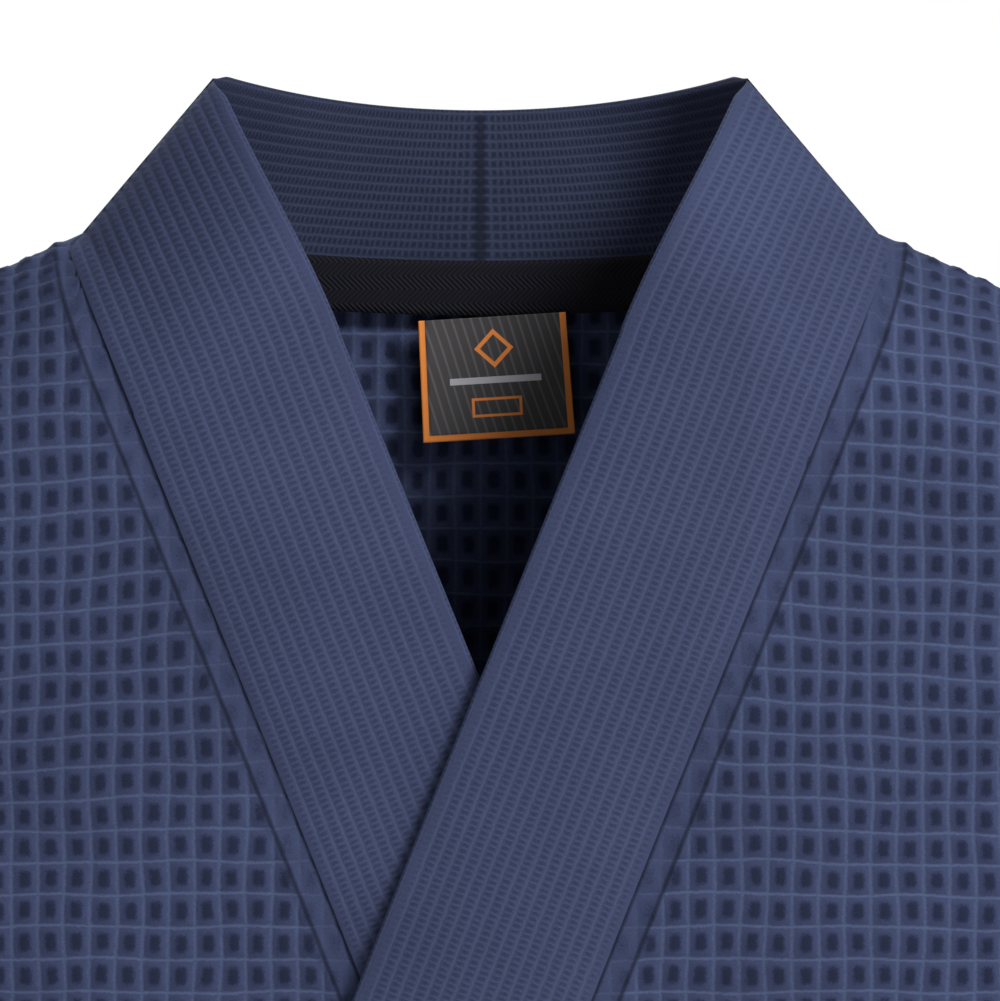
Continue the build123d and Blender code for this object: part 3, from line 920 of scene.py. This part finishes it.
def belt_loop(side):
    name = "left" if side > 0 else "right"
    low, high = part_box(f"{name}_belt_loop")
    base = min(abs(low[0]), abs(high[0])) / MM
    reach = max(abs(low[0]), abs(high[0])) / MM - base - 0.6
    tall = (high[2] - low[2]) / MM - 3
    mid_z = (high[2] + low[2]) / 2 / MM
    s, t = np.meshgrid(np.linspace(-5.5, 5.5, 13), np.linspace(0, math.pi, 60))
    x = base + reach * np.clip(np.sin(t) * 1.5, 0, 1)
    y = s
    z = mid_z + tall / 2 * np.cos(t)
    level = 1 - 0.6 * mark(5.5 - np.abs(s) - 1.5, 0.6)
    piece = strip(f"{name}_belt_loop_strap", mirror(stacked(x, y, z), side),
                  np.stack([s, t * 20], -1), level, 0.6, COLLAR,
                  1.6, flip=side < 0)
    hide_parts(f"{name}_belt_loop")
    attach(piece, "robe_body")


def stitches(name, path):
    """Sewn stitches as short rounded threads along a path of (x, y, z) points."""
    steps = np.linalg.norm(np.diff(path, axis=0), axis=1)
    at = np.concatenate([[0], np.cumsum(steps)])
    starts = np.arange(1.0, at[-1] - STITCH_LENGTH, STITCH_LENGTH + STITCH_GAP)
    verts, faces = [], []
    sides, rings = 5, (0.0, 0.15, 0.5, 0.85, 1.0)
    swell = (0.25, 0.9, 1.0, 0.9, 0.25)
    for start in starts:
        ends = [np.array([np.interp(start + f * STITCH_LENGTH, at, path[:, k]) for k in range(3)])
                for f in rings]
        run = ends[-1] - ends[0]
        run /= np.linalg.norm(run)
        side = np.cross(run, (0, 1, 0))
        side /= max(np.linalg.norm(side), 1e-6)
        up = np.cross(side, run)
        base = len(verts)
        for point, fat in zip(ends, swell):
            for n in range(sides):
                angle = math.tau * n / sides
                offset = side * math.cos(angle) + up * math.sin(angle)
                verts.append((point + offset * STITCH_RADIUS * fat) * MM)
        for ring in range(len(rings) - 1):
            for n in range(sides):
                a = base + ring * sides + n
                b = base + ring * sides + (n + 1) % sides
                faces.append((a, b, b + sides, a + sides))
        faces.append(tuple(base + n for n in reversed(range(sides))))
        faces.append(tuple(base + (len(rings) - 1) * sides + n for n in range(sides)))
    mesh = bpy.data.meshes.new(name)
    mesh.from_pydata([tuple(v) for v in verts], [], faces)
    mesh.uv_layers.new(name="cloth")
    # Both left at 0: the thread shows the cloth's plain colour under the full painted groove shade
    for key in ("weave", "groove"):
        mesh.attributes.new(key, "FLOAT", "POINT")
    mesh.shade_smooth()
    piece = bpy.data.objects.new(name, mesh)
    bpy.context.collection.objects.link(piece)
    mesh.materials.append(THREAD)
    return piece


def seam_stitches(side):
    """The topstitch beside each collar seam."""
    name = "left" if side > 0 else "right"
    z = np.linspace(-14, HEM_CORNER[1] + 4, 700)
    x = seam_x(z) + TOPSTITCH * math.hypot(1, COLLAR_SLOPE) * ramp(-z, -20, 10)
    y = front_y(x, z, side > 0) + 0.5 + 0.5 * ease(x, z, 1.0 + side) * ramp(-z, 20, 80)
    path = np.stack([x * side, y, z], -1)
    piece = stitches(f"{name}_collar_topstitch", path)
    bend_front(piece)


# ---------------------------------------------------------------- the robe
for hand in (1, -1):
    front_cloth(hand)
    collar_front(hand)
    collar_back(hand)
    sleeve_cloth(hand)
    pocket(hand)
    seam_stitches(hand)
back_cloth()
neck_tape()
neck_label()
belt()


# ---------------------------------------------------------------- studio
def studio():
    scene = bpy.context.scene
    world = bpy.data.worlds.new("studio")
    scene.world = world
    world.use_nodes = True
    tree = world.node_tree
    seen = node(tree, "ShaderNodeLightPath").outputs["Is Camera Ray"]
    glow = node(tree, "ShaderNodeMapRange", {"Value": seen, "To Min": 0.15, "To Max": 1.0})
    tree.links.new(glow.outputs[0], tree.nodes["Background"].inputs["Strength"])
    tree.nodes["Background"].inputs["Color"].default_value = (1, 1, 1, 1)

    def lamp(name, place, size, power):
        data = bpy.data.lights.new(name, "AREA")
        data.shape = "DISK"
        data.size, data.energy = size, power
        made = bpy.data.objects.new(name, data)
        made.location = place
        made.rotation_euler = (-made.location).to_track_quat("-Z", "Y").to_euler()
        scene.collection.objects.link(made)

    lamp("key", (0.95, -1.10, 0.85), 0.5, 23)
    lamp("front", (0.8, -2.8, -0.6), 1.6, 15)
    lamp("fill", (-2.2, -1.9, 0.2), 1.4, 3.5)
    lamp("top", (0.2, 0.5, 2.4), 1.2, 10)
    lamp("rear", (-0.6, 2.6, 1.2), 1.8, 40)

    floor = bpy.data.meshes.new("floor")
    reach, drop = 60.0, CAD_BOX[0][2] - 0.25
    floor.from_pydata([(-reach, -reach, drop), (reach, -reach, drop), (reach, reach, drop),
                       (-reach, reach, drop)], [], [(0, 1, 2, 3)])
    ground = bpy.data.objects.new("floor", floor)
    pale = bpy.data.materials.new("pale_floor")
    pale.use_nodes = True
    surface = pale.node_tree.nodes["Principled BSDF"]
    surface.inputs["Base Color"].default_value = (0.8, 0.8, 0.8, 1)
    surface.inputs["Emission Color"].default_value = (1, 1, 1, 1)
    surface.inputs["Emission Strength"].default_value = 0.4
    floor.materials.append(pale)
    scene.collection.objects.link(ground)

    lens = bpy.data.cameras.new("camera")
    camera = bpy.data.objects.new("camera", lens)
    scene.collection.objects.link(camera)
    distance, view_width = 6.0, 0.327
    lens.sensor_width = 36
    lens.lens = 36 * distance / view_width
    camera.location = (0.0065, -distance - 0.05, -0.088)
    camera.rotation_euler = (math.radians(90), 0, 0)
    scene.camera = camera
    scene.view_settings.view_transform = "Standard"


studio()
